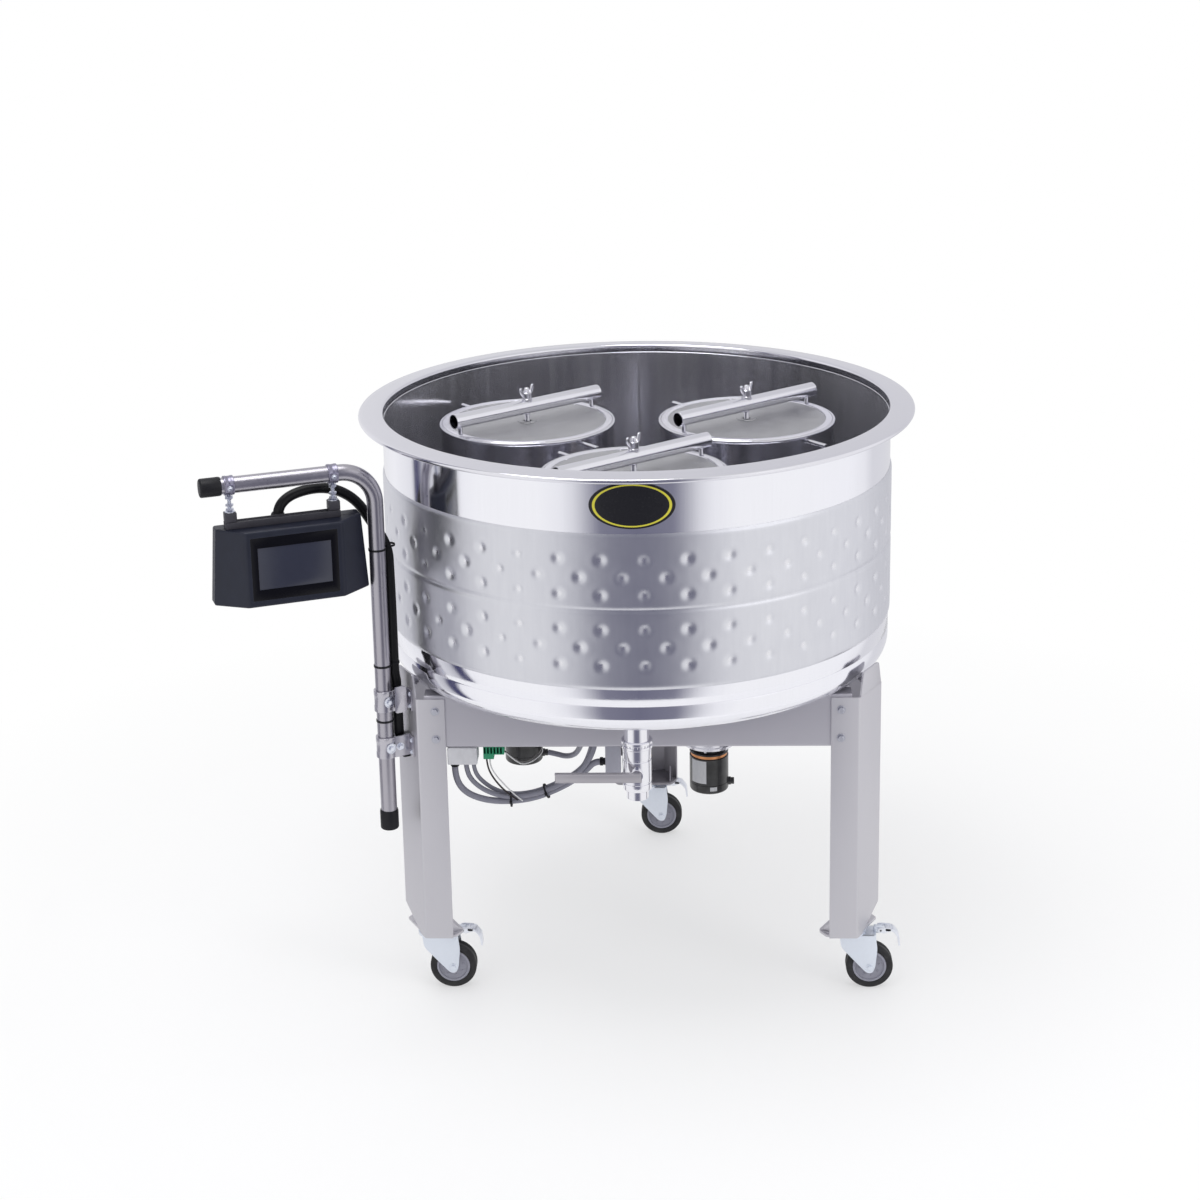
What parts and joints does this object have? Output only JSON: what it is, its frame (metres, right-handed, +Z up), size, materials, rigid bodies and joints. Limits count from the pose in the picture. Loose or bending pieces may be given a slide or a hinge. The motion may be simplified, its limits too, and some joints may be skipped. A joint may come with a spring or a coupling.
{
  "type": "electric brewing system",
  "caption": "Wide open brew kettle with malt pipes on a castored leg frame, with outlet ball valve, pumps and a controller on a swivelling mast.",
  "frame": {"origin": "centre of the bounding box in X and Y, on the floor", "axes": "+X to the right of the outlet side, +Y from the outlet side to the back, +Z up"},
  "size_m": [1.4497, 1.176, 1.2349],
  "materials": {
    "steel_polished": "mirror-polished stainless steel",
    "steel_blasted": "matt dimpled stainless steel",
    "steel_satin": "satin stainless steel",
    "steel_pipe": "polished stainless steel",
    "sieve_mesh": "fine woven mesh in a polished ring",
    "frame_steel": "brushed folded sheet",
    "zinc": "blue zinc plate",
    "tyre": "black rubber tread",
    "hub": "grey moulded nylon",
    "black_plastic": "black moulded plastic",
    "display": "dark touch panel",
    "badge": "black oval with a yellow line",
    "motor": "black motor housing",
    "grey_box": "light grey box",
    "green_plastic": "green terminal block",
    "black_cable": "black cable sheath",
    "grey_cable": "grey cable sheath"
  },
  "bodies": {
    "root": {"kettle_shell": "steel_polished", "rim_flange": "steel_polished", "outlet_neck": "steel_polished", "valve_body": "steel_polished", "cooling_jacket": "steel_blasted", "heating_coil": "steel_satin", "pump_head_left": "steel_satin", "pump_head_right": "steel_satin", "centre_rod_left": "steel_pipe", "centre_rod_right": "steel_pipe", "centre_rod_front": "steel_pipe", "beam_front": "frame_steel", "beam_left": "frame_steel", "beam_right": "frame_steel", "leg_left": "frame_steel", "leg_right": "frame_steel", "leg_rear": "frame_steel", "mast_clamp_upper": "zinc", "mast_clamp_lower": "zinc", "cable_hood": "black_plastic", "badge_plate": "badge", "pump_motor_left": "motor", "pump_motor_right": "motor", "junction_box": "grey_box", "sensor_box": "grey_box", "green_connector": "green_plastic", "cable_tail": "black_cable", "supply_leads": "grey_cable", "pump_cable": "grey_cable"},
    "caster_left": {"fork_left": "zinc"},
    "wheel_left": {"wheel_hub_left": "hub", "tyre_left": "tyre"},
    "brake_left": {"brake_pedal_left": "zinc"},
    "caster_right": {"fork_right": "zinc"},
    "wheel_right": {"wheel_hub_right": "hub", "tyre_right": "tyre"},
    "brake_right": {"brake_pedal_right": "zinc"},
    "caster_rear": {"fork_rear": "zinc"},
    "wheel_rear": {"wheel_hub_rear": "hub", "tyre_rear": "tyre"},
    "brake_rear": {"brake_pedal_rear": "zinc"},
    "pipe_left": {"malt_pipe_left": "steel_pipe"},
    "sieve_body_left": {"sieve_left": "sieve_mesh"},
    "bar_left": {"hold_down_bar_left": "steel_pipe"},
    "nut_left": {"wing_nut_left": "steel_pipe"},
    "pipe_right": {"malt_pipe_right": "steel_pipe"},
    "sieve_body_right": {"sieve_right": "sieve_mesh"},
    "bar_right": {"hold_down_bar_right": "steel_pipe"},
    "nut_right": {"wing_nut_right": "steel_pipe"},
    "pipe_front": {"malt_pipe_front": "steel_pipe"},
    "sieve_body_front": {"sieve_front": "sieve_mesh"},
    "bar_front": {"hold_down_bar_front": "steel_pipe"},
    "nut_front": {"wing_nut_front": "steel_pipe"},
    "valve": {"valve_lever": "steel_polished"},
    "mast": {"mast_tube": "steel_satin", "tube_caps": "black_plastic", "box_hanger": "zinc", "control_box": "black_plastic", "display": "display", "control_cable": "black_cable"}
  },
  "joints": [
    {"name": "caster_swivel_left", "type": "hinge", "parent": "root", "child": "caster_left", "pos_m": [-0.30939, -0.25765, 0.13], "axis": [0, 0, 1], "continuous": true},
    {"name": "wheel_spin_left", "type": "hinge", "parent": "caster_left", "child": "wheel_left", "pos_m": [-0.26839, -0.25765, 0.05], "axis": [0, 1, 0], "continuous": true},
    {"name": "brake_press_left", "type": "hinge", "parent": "caster_left", "child": "brake_left", "pos_m": [-0.2454, -0.25765, 0.1327], "axis": [0, 1, 0], "range_deg": [0, 14]},
    {"name": "caster_swivel_right", "type": "hinge", "parent": "root", "child": "caster_right", "pos_m": [0.58313, -0.25765, 0.13], "axis": [0, 0, 1], "continuous": true},
    {"name": "wheel_spin_right", "type": "hinge", "parent": "caster_right", "child": "wheel_right", "pos_m": [0.62413, -0.25765, 0.05], "axis": [0, 1, 0], "continuous": true},
    {"name": "brake_press_right", "type": "hinge", "parent": "caster_right", "child": "brake_right", "pos_m": [0.64713, -0.25765, 0.1327], "axis": [0, 1, 0], "range_deg": [0, 14]},
    {"name": "caster_swivel_rear", "type": "hinge", "parent": "root", "child": "caster_rear", "pos_m": [0.13687, 0.5153, 0.13], "axis": [0, 0, 1], "continuous": true},
    {"name": "wheel_spin_rear", "type": "hinge", "parent": "caster_rear", "child": "wheel_rear", "pos_m": [0.17787, 0.5153, 0.05], "axis": [0, 1, 0], "continuous": true},
    {"name": "brake_press_rear", "type": "hinge", "parent": "caster_rear", "child": "brake_rear", "pos_m": [0.20087, 0.5153, 0.1327], "axis": [0, 1, 0], "range_deg": [0, 14]},
    {"name": "pipe_lift_left", "type": "slide", "parent": "root", "child": "pipe_left", "axis": [0, 0, 1], "range_m": [0, 0.6]},
    {"name": "sieve_lift_left", "type": "slide", "parent": "pipe_left", "child": "sieve_body_left", "axis": [0, 0, 1], "range_m": [0, 0.12]},
    {"name": "bar_lift_left", "type": "slide", "parent": "sieve_body_left", "child": "bar_left", "axis": [0, 0, 1], "range_m": [0, 0.1]},
    {"name": "nut_turn_left", "type": "hinge", "parent": "bar_left", "child": "nut_left", "pos_m": [-0.10302, 0.1385, 1.214], "axis": [0, 0, 1], "continuous": true},
    {"name": "pipe_lift_right", "type": "slide", "parent": "root", "child": "pipe_right", "axis": [0, 0, 1], "range_m": [0, 0.6]},
    {"name": "sieve_lift_right", "type": "slide", "parent": "pipe_right", "child": "sieve_body_right", "axis": [0, 0, 1], "range_m": [0, 0.12]},
    {"name": "bar_lift_right", "type": "slide", "parent": "sieve_body_right", "child": "bar_right", "axis": [0, 0, 1], "range_m": [0, 0.1]},
    {"name": "nut_turn_right", "type": "hinge", "parent": "bar_right", "child": "nut_right", "pos_m": [0.37676, 0.1385, 1.214], "axis": [0, 0, 1], "continuous": true},
    {"name": "pipe_lift_front", "type": "slide", "parent": "root", "child": "pipe_front", "axis": [0, 0, 1], "range_m": [0, 0.6]},
    {"name": "sieve_lift_front", "type": "slide", "parent": "pipe_front", "child": "sieve_body_front", "axis": [0, 0, 1], "range_m": [0, 0.12]},
    {"name": "bar_lift_front", "type": "slide", "parent": "sieve_body_front", "child": "bar_front", "axis": [0, 0, 1], "range_m": [0, 0.1]},
    {"name": "nut_turn_front", "type": "hinge", "parent": "bar_front", "child": "nut_front", "pos_m": [0.13687, -0.277, 1.214], "axis": [0, 0, 1], "continuous": true},
    {"name": "valve_turn", "type": "hinge", "parent": "root", "child": "valve", "pos_m": [0.13687, -0.42, 0.572], "axis": [0, -1, 0], "range_deg": [0, 90]},
    {"name": "mast_swing", "type": "hinge", "parent": "root", "child": "mast", "pos_m": [-0.38794, -0.303, 0.62], "axis": [0, 0, 1], "range_deg": [-50, 50]}
  ]
}
